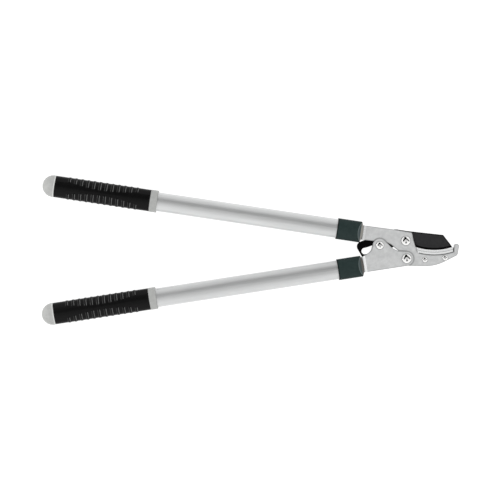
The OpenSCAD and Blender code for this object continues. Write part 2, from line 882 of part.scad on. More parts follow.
module drive_bush()
    color("gray")
        translate([drive_pin[0], drive_pin[1], mid_z - lever_in])
            washer(bush_d, drive_d + 2 * seat_fit, 2 * lever_in);

module nut_washers_lever()
    color("gray") {
        translate([lever_pivot[0], lever_pivot[1], lever_nut_h])
            washer(pivot_washer_d, pivot_d + 2 * seat_fit, seat_washer_t);
        translate([drive_pin[0], drive_pin[1], lever_nut_h])
            washer(drive_washer_d, drive_d + 2 * seat_fit, seat_washer_t);
    }

upper_tube();
upper_end_cap();
upper_grip_sleeve();
upper_grip_ring();
upper_collar();
upper_tang_plug();
upper_tang_rivets();
lower_tube();
lower_end_cap();
lower_grip_sleeve();
lower_grip_ring();
lower_collar();
lower_tang_plug();
lower_tang_rivets();
jaw_plate_front();
jaw_plate_back();
lever_plate_front();
lever_plate_back();
blade();
anvil_insert();
anvil_screws();
anvil_nuts();
blade_pivot_bolt();
blade_pivot_nut();
blade_washers();
nut_washers_jaw();
lever_pivot_bolt();
lever_pivot_nut();
lever_washers();
lever_pivot_spacer();
drive_bolt();
drive_nut();
drive_bush();
nut_washers_lever();
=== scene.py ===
"""Finishes, edges and studio for a long-handled anvil lopper, built around its construction model."""
import json
from functools import partial
from math import cos, radians, sin, tan

import bpy
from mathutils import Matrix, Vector


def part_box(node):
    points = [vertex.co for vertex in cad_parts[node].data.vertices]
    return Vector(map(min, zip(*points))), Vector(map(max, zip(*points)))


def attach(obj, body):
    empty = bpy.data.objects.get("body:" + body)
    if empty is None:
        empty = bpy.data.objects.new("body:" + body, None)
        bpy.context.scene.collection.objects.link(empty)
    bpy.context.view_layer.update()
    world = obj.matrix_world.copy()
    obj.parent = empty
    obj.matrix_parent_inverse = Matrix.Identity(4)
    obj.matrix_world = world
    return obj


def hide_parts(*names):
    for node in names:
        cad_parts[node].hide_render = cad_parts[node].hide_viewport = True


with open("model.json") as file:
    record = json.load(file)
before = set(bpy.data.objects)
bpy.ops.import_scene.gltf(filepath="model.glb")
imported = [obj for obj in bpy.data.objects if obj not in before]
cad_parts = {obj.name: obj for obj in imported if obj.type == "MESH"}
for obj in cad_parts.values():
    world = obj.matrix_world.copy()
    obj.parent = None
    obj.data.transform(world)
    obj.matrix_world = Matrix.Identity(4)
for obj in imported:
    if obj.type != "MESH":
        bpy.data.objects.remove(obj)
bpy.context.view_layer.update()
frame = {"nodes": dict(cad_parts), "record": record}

bl_info = {
    "name": "Anvil lopper",
    "version": (1, 0, 0),
    "blender": (4, 5, 0),
    "location": "3D View > Sidebar > Lopper",
    "description": "Dresses the lopper's pieces in their finishes and sets up the studio",
    "category": "Object",
}

MM = 0.001
BODY_OF = {node: body for body, nodes in frame["record"]["behaviour"]["bodies"].items() for node in nodes}
SLOT_OF = {part["node"]: part["material_slot"] for part in frame["record"]["subparts"]}

# Slopes of the two handles in plan: drawn or moulded lines run along them
HANDLES = {"upper": radians(-8.5), "lower": radians(8.8)}

# A collar's nose faces up or down by more than this part of its normal
NOSE_UP = 0.5

# Zones of the nose, each with the forward part of its normal from which it starts. Each zone's paler tint
# paints the highlights and reflections on the nose
NOSE_ZONES = {"crest": 0.08, "facet": 0.45, "lip": 0.6}

# The flat faces of the anvil's stem look up or down by more than this part of their normal
STEM_UP = 0.9

# The faces of a plate's bend look up or down by a part of their normal between these two
BEND_UP = (0.88, 0.96)

# Domed heads, each with the part of its height that the dome keeps above a straight rim
DOMES = {"blade_pivot_bolt": 0.42, "lever_pivot_bolt": 0.42, "drive_bolt": 0.42, "anvil_screws": 0.4}

# A dome is what faces up by more than this part of its normal
DOME_UP = 0.3

# Points of a solid closer than this are one, and faces that turn by less than this are one flat face
JOIN_WITHIN = 0.002 * MM
FLAT_WITHIN = radians(0.3)

# Edges whose faces turn by more than this are rounded
SHARP_FROM = radians(28)

# Shader settings that finishes share
METAL = {"Metallic": 1.0}
PLATING = {"Metallic": 0.5, "IOR": 1.5, "Specular IOR Level": 0.3}
NYLON = {"IOR": 1.53, "Specular IOR Level": 0.14}

# Noise of the finishes: octaves of patches and grains, and the share of strength that each passes on
PATCH_OCTAVES = 3.0
GRAIN_OCTAVES = 2.0
OCTAVE_SHARE = 0.55

# Values of the noise between which tint and gloss change, and the strength of its relief
TINT_RANGE = (0.32, 0.68)
GLOSS_RANGE = (0.3, 0.7)
RELIEF_STRENGTH = 0.6

# Rays with which a finish looks for surfaces nearby
NEARBY_RAYS = 12

# The painted highlight on a rib's flank grows with the forward part of its normal, and goes as the normal
# turns aside
RIB_HIGHLIGHT_FORWARD = (0.22, 0.42)
RIB_HIGHLIGHT_ASIDE = (0.85, 0.6)

# The tent dims towards its ends with a direction's part along X, towards its foot with its part along Z
ENDS_RANGE = (0.45, 0.95)
FOOT_RANGE = (0.1, 0.45)

# The photographer over the tent's opening, in dark strokes whose reflections mark the bolt heads.
# A stroke has two ends, in degrees from straight up along X and Y, a half width in degrees,
# and the share of light that it lets by
PHOTOGRAPHER = {
    "body": ((0, 30), (1, 22), 12, 0.0),
    "left_arm": ((-1, 22), (-14, 1), 7, 0.0),
    "right_arm": ((2, 22), (33, -1), 7, 0.1),
    "camera": ((8, -14), (8, -17), 7, 0.1),
}

# A stroke fades out between these parts of its half width
STROKE_FADE = (0.8, 1.2)

# Least upward part of a direction for which the strokes are worked out
LEAST_UP = 0.05

# Strips of light beyond the lopper's ends: place from the view's middle, size and power in watts
STRIPS = {
    "head_strip": ((1.6, 0.0, 0.75), (1.2, 0.5), 3),
    "cap_strip": ((-1.6, 0.0, 1.0), (1.2, 0.5), 9),
}

WHITE = (1.0, 1.0, 1.0, 1.0)
FLOOR_ROUGHNESS = 0.9


def linear(hex_colour):
    """Linear RGBA of an sRGB hex value."""
    parts = [int(hex_colour[i:i + 2], 16) / 255 for i in (1, 3, 5)]
    return [p / 12.92 if p <= 0.04045 else ((p + 0.055) / 1.055) ** 2.4 for p in parts] + [1.0]


def colour(label, says, hex_colour):
    """A colour setting with its default given as sRGB hex."""
    return bpy.props.FloatVectorProperty(
        name=label, description=says, subtype="COLOR", size=4, min=0.0, max=1.0, default=linear(hex_colour)
    )


def length(label, says, millimetres):
    """A length setting with its default given in millimetres."""
    return bpy.props.FloatProperty(name=label, description=says, unit="LENGTH", default=millimetres * MM)


def angle(label, says, degrees):
    """An angle setting with its default given in degrees."""
    return bpy.props.FloatProperty(name=label, description=says, subtype="ANGLE", default=radians(degrees))


class LopperColours(bpy.types.PropertyGroup):
    """Colours of the finishes: each drifts a little from its darker to its lighter tint."""

    upper_tube_dark: colour("Upper tube dark", "Darker tint of the anvil handle's tube", "#D2D3D3")
    upper_tube_light: colour("Upper tube light", "Lighter tint of the anvil handle's tube", "#DADBDB")
    # The lever handle's tube is tinted darker than the anvil handle's: painted shade, as less light falls
    # on it.
    lower_tube_dark: colour("Lower tube dark", "Darker tint of the lever handle's tube", "#CECFCF")
    lower_tube_light: colour("Lower tube light", "Lighter tint of the lever handle's tube", "#D6D7D7")
    cap_dark: colour("Cap dark", "Darker tint of the end caps", "#ABACAA")
    cap_light: colour("Cap light", "Lighter tint of the end caps", "#B5B6B4")
    # The cap rim tint is a lighter band where a cap meets its sleeve.
    cap_rim: colour("Cap rim", "Tint of the caps' polished rims", "#D6D7D5")
    ring_dark: colour("Ring dark", "Darker tint of the grip rings", "#A7A8A6")
    ring_light: colour("Ring light", "Lighter tint of the grip rings", "#B1B2B0")
    grip_dark: colour("Grip dark", "Darker tint of the grip rubber", "#050505")
    grip_light: colour("Grip light", "Lighter tint of the grip rubber", "#090909")
    # The rib tints are painted highlights on the flanks of the grips' ribs, stronger on the front flanks.
    front_rib_highlight: colour("Rib front", "Tint of the bloom on the front flanks of the grips' ribs", "#6C6C6C")
    back_rib_highlight: colour("Rib back", "Tint of the bloom on the back flanks of the grips' ribs", "#343434")
    collar_dark: colour("Collar dark", "Darker tint of the collars", "#243130")
    collar_light: colour("Collar light", "Lighter tint of the collars", "#2A3736")
    # Painted shade along the collars' edges.
    collar_edge_shade: colour("Collar rim", "Tint along the collars' edges", "#020404")
    # Crest, facet and lip tints are painted highlights and reflections on the collars' noses; the anvil
    # handle's lip is painted lighter than the lever handle's.
    crest: colour("Crest", "Tint of the rubbed edge between a collar's top and its nose", "#5E6867")
    facet: colour("Facet", "Tint of the rubbed facet of a collar's nose", "#434D4F")
    upper_lip: colour("Upper lip", "Tint of the rubbed lip of the anvil handle's collar", "#94928D")
    lower_lip: colour("Lower lip", "Tint of the rubbed lip of the lever handle's collar", "#5E5C58")
    plate_dark: colour("Plate dark", "Darker tint of the plated steel", "#D1D2D2")
    plate_light: colour("Plate light", "Lighter tint of the plated steel", "#E1E2E2")
    # Painted shade along the plates' edges.
    plate_edge_shade: colour("Plate rim", "Tint along the plates' sheared edges", "#BABBBB")
    # Bend tints are painted highlights on the plates' bends, brighter on the lever plates.
    jaw_highlight: colour("Jaw bend", "Tint of the jaw plates' burnished bends", "#DBDCDC")
    lever_highlight: colour("Lever bend", "Tint of the lever plates' burnished bends", "#F9FAFA")
    # Painted shade where plates and heads meet and at the foot of steps.
    plate_step_shade: colour("Plate crevice", "Tint of the dirt where plates and heads meet", "#6E6F6F")
    blade_dark: colour("Blade dark", "Darker tint of the blade's coating", "#2D2D2E")
    blade_light: colour("Blade light", "Lighter tint of the blade's coating", "#333334")
    # Painted shade along the blade's edges.
    blade_edge_shade: colour("Blade rim", "Tint along the blade's edges", "#030303")
    # The tail tint turns the blade black from the tail start backwards.
    blade_tail: colour("Blade tail", "Tint of the blade's oiled tail", "#030303")
    anvil_dark: colour("Anvil dark", "Darker tint of the anvil strip", "#F3F4F4")
    anvil_light: colour("Anvil light", "Lighter tint of the anvil strip", "#F9FAFA")
    # Painted shade in the anvil's gaps and beyond its front end.
    anvil_painted_shade: colour("Anvil crevice", "Tint of the dirt in the anvil's gaps", "#161616")
    # Stem tints are painted shade on the anvil's stem deep in the gaps.
    stem_shade_dark: colour("Stain dark", "Darker tint of the sap on the anvil's stem", "#0C0C0C")
    stem_shade_light: colour("Stain light", "Lighter tint of the sap on the anvil's stem", "#181817")
    bolt_dark: colour("Bolt dark", "Darker tint of the bolts and nuts", "#FAFAF9")
    bolt_light: colour("Bolt light", "Lighter tint of the bolts and nuts", "#FDFDFC")
    steel_dark: colour("Inner steel dark", "Darker tint of the inner steel", "#7E8082")
    steel_light: colour("Inner steel light", "Lighter tint of the inner steel", "#8C8E90")


class LopperEdges(bpy.types.PropertyGroup):
    """Roundings, rims and zones that are too small for the construction model."""

    tube: length("Tube ends", "Rounding of the tubes' cut ends", 0.2)
    ring: length("Rings", "Rounding of the grip rings' rims", 0.8)
    collar: length("Collars", "Rounding of the collars' edges", 0.7)
    crest: length("Crest", "Chamfer between a collar's top and its nose", 0.6)
    # Width of the painted shade along the collars' edges.
    collar_edge_shade: length("Collar rim", "Width of the darker rim along the collars' edges", 1.6)
    plate: length("Plates", "Rounding of the stamped plates' edges", 0.35)
    # Width of the painted shade along the plates' edges.
    plate_edge_shade: length("Plate rim", "Width of the darker rim along the plates' edges", 1.4)
    # How far the painted shade reaches from the foot of an edge.
    crevice: length("Crevice", "How far dirt spreads from the foot of an edge", 2.4)
    # Beyond this distance from the blade pivot the anvil strip gets painted shade.
    anvil_end: length("Anvil end", "Distance from the blade pivot at which the anvil is dirty", 79.1)
    stem_level: length("Stem level", "Half height within which the anvil's faces belong to its stem", 3.0)
    # How far the painted shade reaches in the gaps round the anvil strip.
    anvil_gap: length("Anvil gap", "How far dirt reaches in the gaps round the anvil strip", 3.5)
    # Width of the lighter band where a cap meets its sleeve.
    cap_rim: length("Cap rim", "Width of the polished rim where a cap meets its sleeve", 1.8)
    blade: length("Blade", "Rounding of the blade's edges", 0.25)
    # Width of the painted shade along the blade's edges.
    blade_edge_shade: length("Blade rim", "Width of the darker rim along the blade's edges", 2.0)
    # From here backwards along X the blade is tinted black.
    tail_start: length("Tail", "Where the blade's oiled tail starts along X", -20)
    anvil: length("Anvil", "Rounding of the anvil strip's edges", 0.25)
    bolt: length("Bolts", "Rounding of the bolts' and nuts' edges", 0.25)
    cap_voxel: length("Cap detail", "Grid on which the domed caps are smoothed", 0.55)
    sleeve_voxel: length("Sleeve detail", "Grid on which the ribbed sleeves are smoothed", 0.62)


class LopperStudio(bpy.types.PropertyGroup):
    """Camera, floor and lights."""

    view_width: length("View width", "Width that the camera sees at the lopper's middle height", 837.5)
    view_x: length("View centre X", "Middle of the view along the lopper", -260.5)
    view_y: length("View centre Y", "Middle of the view across the lopper", -15.4)
    view_level: length("View level", "Height at which the view has its width", 13.5)
    lens: bpy.props.FloatProperty(
        name="Lens", description="Focal length in millimetres", default=100.0, unit="CAMERA"
    )
    floor_width: length("Floor width", "Side of the square floor", 40000)
    floor_drop: length("Floor drop", "How far the floor lies below the lopper", 0.2)
    tent_bright: bpy.props.FloatProperty(
        name="Tent", description="Brightness of the light tent's sides", default=1.14
    )
    tent_dim: bpy.props.FloatProperty(
        name="Tent opening", description="Brightness of the tent's opening overhead", default=0.69
    )
    opening: bpy.props.FloatProperty(
        name="Opening", description="Sine of the angle at which the tent is fully bright", default=0.9
    )
    lean: angle("Lean", "Angle of the tent's opening from straight up, towards the anvil handle", 9.5)
    tent_ends: bpy.props.FloatProperty(
        name="Tent ends", description="Share of the tent's brightness that its ends have", default=0.55
    )
    tent_foot: bpy.props.FloatProperty(
        name="Tent foot", description="Share of the tent's brightness that its foot has", default=0.82
    )
    floor_colour: colour("Floor", "Colour of the floor sheet under its glow", "#808080")
    floor_glow: bpy.props.FloatProperty(
        name="Floor glow", description="Brightness of the lit floor sheet", default=0.93
    )


def add_node(tree, kind, settings=None, inputs=None):
    """Adds a node with its settings. An input is a value or another node's output."""
    node = tree.nodes.new(kind)
    for name, value in (settings or {}).items():
        setattr(node, name, value)
    for name, value in (inputs or {}).items():
        if isinstance(value, bpy.types.NodeSocket):
            tree.links.new(value, node.inputs[name])
        else:
            node.inputs[name].default_value = value
    return node


def calculate(tree, operation, *values):
    """Result of a calculation with numbers or outputs."""
    node = add_node(tree, "ShaderNodeMath", {"operation": operation}, dict(enumerate(values)))
    return node.outputs["Value"]


def vector_result(tree, operation, inputs, output="Vector"):
    """Result of a calculation with vectors."""
    return add_node(tree, "ShaderNodeVectorMath", {"operation": operation}, inputs).outputs[output]


def map_range(tree, value, source, target=(0.0, 1.0), smooth=False):
    """Result that crosses the target range while a value crosses the source range."""
    curve = "SMOOTHSTEP" if smooth else "LINEAR"
    node = add_node(tree, "ShaderNodeMapRange", {"interpolation_type": curve}, {
        "Value": value, "From Min": source[0], "From Max": source[1],
        "To Min": target[0], "To Max": target[1],
    })
    return node.outputs["Result"]


def surface(name, tints, patch, grain, gloss, relief, turn=0.0, constants=None):
    """A finish whose tint drifts over soft patches and whose fine grain shows in gloss and relief.

    patch and grain are the sizes of one patch and one grain along X, Y and Z, turned in plan by turn.
    gloss is the least and greatest roughness, and relief the grain's height.
    """
    material = bpy.data.materials.new(name)
    material.use_nodes = True
    tree = material.node_tree
    shader = tree.nodes["Principled BSDF"]
    for socket, value in (constants or {}).items():
        shader.inputs[socket].default_value = value
    place = add_node(tree, "ShaderNodeTexCoord").outputs["Object"]
    fields = []
    for size, octaves in ((patch, PATCH_OCTAVES), (grain, GRAIN_OCTAVES)):
        mapping = add_node(
            tree, "ShaderNodeMapping", {"vector_type": "TEXTURE"},
            {"Vector": place, "Rotation": (0.0, 0.0, turn), "Scale": size},
        )
        noise = add_node(tree, "ShaderNodeTexNoise", None, {
            "Vector": mapping.outputs["Vector"], "Scale": 1.0,
            "Detail": octaves, "Roughness": OCTAVE_SHARE,
        })
        fields.append(noise.outputs["Fac"])
    patches, grains = fields
    tint = add_node(tree, "ShaderNodeValToRGB", None, {"Fac": patches})
    for element, shade, position in zip(tint.color_ramp.elements, tints, TINT_RANGE):
        element.color = shade
        element.position = position
    bump = add_node(
        tree, "ShaderNodeBump", None, {"Height": grains, "Strength": RELIEF_STRENGTH, "Distance": relief}
    )
    tree.links.new(tint.outputs["Color"], shader.inputs["Base Color"])
    tree.links.new(map_range(tree, grains, GLOSS_RANGE, gloss), shader.inputs["Roughness"])
    tree.links.new(bump.outputs["Normal"], shader.inputs["Normal"])
    return material


def tint_where(material, mask, tint):
    """Lays a tint over a finish where the mask is 1."""
    tree = material.node_tree
    base = tree.nodes["Principled BSDF"].inputs["Base Color"]
    below = base.links[0].from_socket
    mix = add_node(tree, "ShaderNodeMixRGB", None, {"Fac": mask, "Color1": below, "Color2": tint})
    tree.links.new(mix.outputs["Color"], base)


def tint_near(material, reach, tint, clear, full, inside=False):
    """Tints a finish near other surfaces, or with inside, near the edges of its own piece.

    The tint starts where the open share of the view within reach falls below clear, and is whole at full.
    """
    tree = material.node_tree
    nearby = add_node(
        tree, "ShaderNodeAmbientOcclusion",
        {"samples": NEARBY_RAYS, "inside": inside, "only_local": inside}, {"Distance": reach},
    )
    tint_where(material, map_range(tree, nearby.outputs["AO"], (clear, full)), tint)


def tint_rims(material, width, tint):
    """Tints a rim along a piece's edges. The width is less than the piece's thickness."""
    tint_near(material, width, tint, clear=0.99, full=0.93, inside=True)


def tint_beyond(material, forward, start, tint):
    """Tints a finish from a start along the forward direction onwards."""
    tree = material.node_tree
    place = add_node(tree, "ShaderNodeTexCoord").outputs["Object"]
    along = vector_result(tree, "DOT_PRODUCT", {0: place, 1: forward}, "Value")
    tint_where(material, calculate(tree, "GREATER_THAN", along, start), tint)


def forward_of(slope):
    """Direction to the cutting head along a handle."""
    return Vector((cos(slope), sin(slope), 0.0))


def front_of(node, forward):
    """How far a node's solid reaches along the forward direction."""
    return max(vertex.co.dot(forward) for vertex in frame["nodes"][node].data.vertices)


def cube_of(millimetres):
    """Equal sizes along the three axes."""
    return (millimetres * MM,) * 3


def anodised_tube(name, turn, tints):
    """Drawn aluminium, satin anodised: soft reflections with faint draw lines along the tube."""
    return surface(
        name, tints,
        patch=(90 * MM, 5 * MM, 5 * MM), grain=(30 * MM, 0.5 * MM, 0.5 * MM),
        gloss=(0.38, 0.42), relief=0.002 * MM, turn=turn, constants=METAL,
    )


def grey_plastic(name, tints):
    """Light grey ABS, moulded in a fine spark-eroded tool: an even, almost matt skin."""
    return surface(
        name, tints, patch=cube_of(7), grain=cube_of(0.5),
        gloss=(0.46, 0.58), relief=0.03 * MM, constants={"IOR": 1.53},
    )


def grip_rubber(name, slope, colours):
    """Black thermoplastic rubber: deep black, with painted highlights on the flanks of its ribs."""
    material = surface(
        name, (colours.grip_dark, colours.grip_light), patch=cube_of(5), grain=cube_of(0.6),
        gloss=(0.26, 0.34), relief=0.02 * MM, constants={"IOR": 1.5, "Specular IOR Level": 0.15},
    )
    tree = material.node_tree
    normal = add_node(tree, "ShaderNodeTexCoord").outputs["Normal"]
    forward = forward_of(slope)
    across = vector_result(tree, "DOT_PRODUCT", {0: normal, 1: (-forward.y, forward.x, 0.0)}, "Value")
    highlight_share = map_range(tree, calculate(tree, "ABSOLUTE", across), RIB_HIGHLIGHT_ASIDE)
    # Painted highlights on the ribs' flanks, fading as the normal turns aside towards the silhouette.
    for flank, tint in ((forward, colours.front_rib_highlight), (-forward, colours.back_rib_highlight)):
        facing = vector_result(tree, "DOT_PRODUCT", {0: normal, 1: flank}, "Value")
        tint_where(material, map_range(tree, facing, RIB_HIGHLIGHT_FORWARD, (0.0, highlight_share)), tint)
    return material


def collar_plastic(name, colours, edges):
    """Glass-filled nylon in dark grey-green: matt, with a fine fibre grain and painted shade along its
    edges.
    """
    material = surface(
        name, (colours.collar_dark, colours.collar_light), patch=cube_of(6), grain=cube_of(0.6),
        gloss=(0.34, 0.44), relief=0.02 * MM, constants=NYLON,
    )
    # Painted shade along the edges.
    tint_rims(material, edges.collar_edge_shade, colours.collar_edge_shade)
    return material


def painted_light_nylon(name, tint):
    """The same nylon on a collar's nose: smoother, and paler to paint the highlights and reflections that
    light makes on the nose.
    """
    return surface(
        name, (tint, tint), patch=cube_of(6), grain=cube_of(0.6),
        gloss=(0.3, 0.4), relief=0.01 * MM, constants=NYLON,
    )


def plated_plate(name, colours, edges):
    """Stamped steel, blasted and nickel plated: milky satin, with painted shade along its edges and at the
    foot of steps and heads.
    """
    material = surface(
        name, (colours.plate_dark, colours.plate_light), patch=cube_of(8), grain=cube_of(0.6),
        gloss=(0.3, 0.4), relief=0.005 * MM, constants=PLATING,
    )
    # Painted shade along the edges, and painted shade at the foot of steps and round the heads.
    tint_rims(material, edges.plate_edge_shade, colours.plate_edge_shade)
    tint_near(material, edges.crevice, colours.plate_step_shade, clear=0.94, full=0.5)
    return material


def highlighted_bend(name, tint):
    """The same plated steel where the press tool bent it: smoother, with a paler tint that paints the
    highlight on the bend.
    """
    return surface(
        name, (tint, tint), patch=cube_of(8), grain=cube_of(0.6),
        gloss=(0.25, 0.35), relief=0.003 * MM, constants=PLATING,
    )


def blade_coating(name, colours, edges):
    """Baked non-stick coating on steel: charcoal, with painted shade along its edges, and black on its
    tail.
    """
    material = surface(
        name, (colours.blade_dark, colours.blade_light), patch=cube_of(4), grain=cube_of(0.5),
        gloss=(0.38, 0.5), relief=0.02 * MM, constants={"IOR": 1.45, "Specular IOR Level": 0.06},
    )
    # Painted shade along the edges, and black from the tail start backwards.
    tint_rims(material, edges.blade_edge_shade, colours.blade_edge_shade)
    tint_beyond(material, (-1.0, 0.0, 0.0), -edges.tail_start, colours.blade_tail)
    return material


def anvil_metal(name, colours, edges):
    """Extruded aluminium strip, lightly brushed along the jaw: bright, with painted shade in its gaps and
    beyond its front end.
    """
    material = surface(
        name, (colours.anvil_dark, colours.anvil_light),
        patch=(12 * MM, 2 * MM, 2 * MM), grain=(6 * MM, 0.4 * MM, 0.4 * MM),
        gloss=(0.28, 0.38), relief=0.006 * MM,
        constants={"Metallic": 0.6, "IOR": 1.5, "Specular IOR Level": 0.3},
    )
    # Painted shade in the gaps and beyond the front end.
    tint_near(material, edges.anvil_gap, colours.anvil_painted_shade, clear=0.9, full=0.65)
    tint_beyond(material, (1.0, 0.0, 0.0), edges.anvil_end, colours.anvil_painted_shade)
    return material


def painted_stem_shade(name, colours):
    """Aluminium of the stem, painted dark and dull as the shade deep in the gaps."""
    return surface(
        name, (colours.stem_shade_dark, colours.stem_shade_light), patch=cube_of(2), grain=cube_of(0.5),
        gloss=(0.55, 0.7), relief=0.02 * MM, constants={"IOR": 1.5, "Specular IOR Level": 0.1},
    )


def bolt_steel(name, colours):
    """Cold-headed steel, bright zinc plated: clear reflections with a slight waviness."""
    return surface(
        name, (colours.bolt_dark, colours.bolt_light), patch=cube_of(3), grain=cube_of(0.8),
        gloss=(0.06, 0.1), relief=0.001 * MM, constants=METAL,
    )


def inner_steel(name, colours):
    """Plain turned steel of the inner fittings, oiled: grey with a dull gloss."""
    return surface(
        name, (colours.steel_dark, colours.steel_light), patch=cube_of(5), grain=cube_of(0.5),
        gloss=(0.34, 0.46), relief=0.008 * MM, constants=METAL,
    )


def pick(piece):
    """Makes a piece the active object and the only one selected."""
    bpy.ops.object.select_all(action="DESELECT")
    piece.select_set(True)
    bpy.context.view_layer.objects.active = piece


def select_none(kind):
    """Deselects all of the active piece's mesh, ready to select edges or faces."""
    bpy.ops.object.mode_set(mode="EDIT")
    bpy.ops.mesh.select_mode(type=kind)
    bpy.ops.mesh.select_all(action="DESELECT")
    bpy.ops.object.mode_set(mode="OBJECT")


def merged_copy(node):
    """A copy of a node's solid with its triangles joined up into whole flat faces."""
    piece = bpy.data.objects.new(node + "_finished", frame["nodes"][node].data.copy())
    bpy.context.scene.collection.objects.link(piece)
    pick(piece)
    if piece.data.has_custom_normals:
        bpy.ops.mesh.customdata_custom_splitnormals_clear()
    bpy.ops.object.mode_set(mode="EDIT")
    bpy.ops.mesh.select_all(action="SELECT")
    bpy.ops.mesh.remove_doubles(threshold=JOIN_WITHIN)
    bpy.ops.mesh.dissolve_limited(angle_limit=FLAT_WITHIN)
    bpy.ops.object.mode_set(mode="OBJECT")
    return piece


def apply_modifier(piece, kind, settings):
    """Adds a modifier with its settings and applies it."""
    modifier = piece.modifiers.new(kind.title(), kind)
    for name, value in settings.items():
        setattr(modifier, name, value)
    bpy.context.view_layer.objects.active = piece
    bpy.ops.object.modifier_apply(modifier=modifier.name)


def round_edges(piece, width, segments):
    """Rounds every sharp edge of a piece."""
    apply_modifier(piece, "BEVEL", {
        "width": width, "segments": segments, "limit_method": "ANGLE",
        "angle_limit": SHARP_FROM, "miter_outer": "MITER_ARC",
    })


def face_ways(piece, direction):
    """For each edge of a piece, how far its faces look along a direction, from least to greatest."""
    ways = {}
    for face in piece.data.polygons:
        for edge in face.edge_keys:
            ways.setdefault(edge, []).append(face.normal.dot(direction))
    return {edge: sorted(values) for edge, values in ways.items()}


def chamfer_crest(piece, forward, width):
    """Chamfers the edge between a collar's top and the facet of its nose."""
    select_none("EDGE")
    ways = face_ways(piece, forward)
    for edge in piece.data.edges:
        least, greatest = ways[edge.key][0], ways[edge.key][-1]
        on_top = abs(least) < NOSE_ZONES["crest"]
        on_facet = NOSE_ZONES["facet"] < greatest < NOSE_ZONES["lip"]
        edge.select = on_top and on_facet
    bpy.ops.object.mode_set(mode="EDIT")
    bpy.ops.mesh.bevel(offset=width, segments=1, clamp_overlap=False)
    bpy.ops.object.mode_set(mode="OBJECT")


def lower_domes(piece, kept):
    """Makes the domes of bolt heads flatter, each on a straight rim that keeps the head's height."""
    select_none("FACE")
    levels = []
    for face in piece.data.polygons:
        if face.normal.z > DOME_UP:
            face.select = True
            levels += [piece.data.vertices[corner].co.z for corner in face.vertices]
    foot, top = min(levels), max(levels)
    rim = (top - foot) * (1 - kept)
    bpy.ops.object.mode_set(mode="EDIT")
    bpy.ops.mesh.extrude_region_move(TRANSFORM_OT_translate={"value": (0.0, 0.0, rim)})
    bpy.ops.transform.resize(value=(1.0, 1.0, kept), center_override=(0.0, 0.0, foot + rim))
    bpy.ops.object.mode_set(mode="OBJECT")


def soften(piece, voxel, passes):
    """Rebuilds a piece on a fine grid and smooths it, as a moulded skin."""
    apply_modifier(piece, "REMESH", {"mode": "VOXEL", "voxel_size": voxel, "use_smooth_shade": True})
    apply_modifier(piece, "SMOOTH", {"factor": 0.5, "iterations": passes})


def place_piece(piece, node, material, smooth_angle):
    """Gives a piece its finish and its body, and hides the node that it stands for."""
    piece.data.materials.clear()
    piece.data.materials.append(material)
    pick(piece)
    bpy.ops.object.shade_smooth_by_angle(angle=radians(smooth_angle))
    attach(piece, BODY_OF[node])
    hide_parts(node)


def edged_pieces(nodes, width, material, segments=3, smooth_angle=35, shape=None):
    """Rounds the edges of copies of the nodes, each shaped first if asked, and finishes them alike."""
    for node in nodes:
        piece = merged_copy(node)
        if shape:
            shape(piece)
        round_edges(piece, width, segments)
        place_piece(piece, node, material, smooth_angle)
        apply_modifier(piece, "WEIGHTED_NORMAL", {"mode": "FACE_AREA", "keep_sharp": True})


def finish_faces(piece, material, faces):
    """Gives some faces of a piece a finish of their own."""
    piece.data.materials.append(material)
    for face in faces:
        face.material_index = len(piece.data.materials) - 1


class LOPPER_OT_tubes(bpy.types.Operator):
    """Adds the drawn oval tubes of the two handles"""

    bl_idname = "lopper.tubes"
    bl_label = "Tubes"

    def execute(self, context):
        """Finishes one tube per handle, with draw lines along it."""
        colours, edges = context.scene.lopper_colours, context.scene.lopper_edges
        for side, slope in HANDLES.items():
            # Each handle gets its own tints; the lever handle's darker tints are painted shade.
            tints = [getattr(colours, f"{side}_tube_{tone}") for tone in ("dark", "light")]
            material = anodised_tube(f"anodised_aluminium_{side}", slope, tints)
            edged_pieces([f"{side}_tube"], edges.tube, material, segments=2)
        return {"FINISHED"}


class LOPPER_OT_end_caps(bpy.types.Operator):
    """Adds the domed end caps"""

    bl_idname = "lopper.end_caps"
    bl_label = "End caps"

    def execute(self, context):
        """Smooths the caps' domes on a fine grid and tints a lighter band at their rims."""
        colours, edges = context.scene.lopper_colours, context.scene.lopper_edges
        for side, slope in HANDLES.items():
            node = f"{side}_end_cap"
            piece = merged_copy(node)
            soften(piece, edges.cap_voxel, passes=3)
            material = grey_plastic(f"moulded_grey_abs_{side}_cap", (colours.cap_dark, colours.cap_light))
            forward = forward_of(slope)
            rim = front_of(f"{side}_grip_sleeve", -forward)
            tint_beyond(material, forward, -rim - edges.cap_rim, colours.cap_rim)
            place_piece(piece, node, material, smooth_angle=60)
        return {"FINISHED"}


class LOPPER_OT_grip_sleeves(bpy.types.Operator):
    """Adds the ribbed rubber sleeves"""

    bl_idname = "lopper.grip_sleeves"
    bl_label = "Grip sleeves"

    def execute(self, context):
        """Rounds the ribs as soft rubber."""
        for side, slope in HANDLES.items():
            material = grip_rubber(f"black_grip_rubber_{side}", slope, context.scene.lopper_colours)
            node = f"{side}_grip_sleeve"
            piece = merged_copy(node)
            soften(piece, context.scene.lopper_edges.sleeve_voxel, passes=2)
            place_piece(piece, node, material, smooth_angle=60)
        return {"FINISHED"}


class LOPPER_OT_grip_rings(bpy.types.Operator):
    """Adds the rings in front of the sleeves"""

    bl_idname = "lopper.grip_rings"
    bl_label = "Grip rings"

    def execute(self, context):
        """Rounds the rings' rims."""
        colours = context.scene.lopper_colours
        material = grey_plastic("moulded_grey_abs_rings", (colours.ring_dark, colours.ring_light))
        edged_pieces([f"{side}_grip_ring" for side in HANDLES], context.scene.lopper_edges.ring, material)
        return {"FINISHED"}


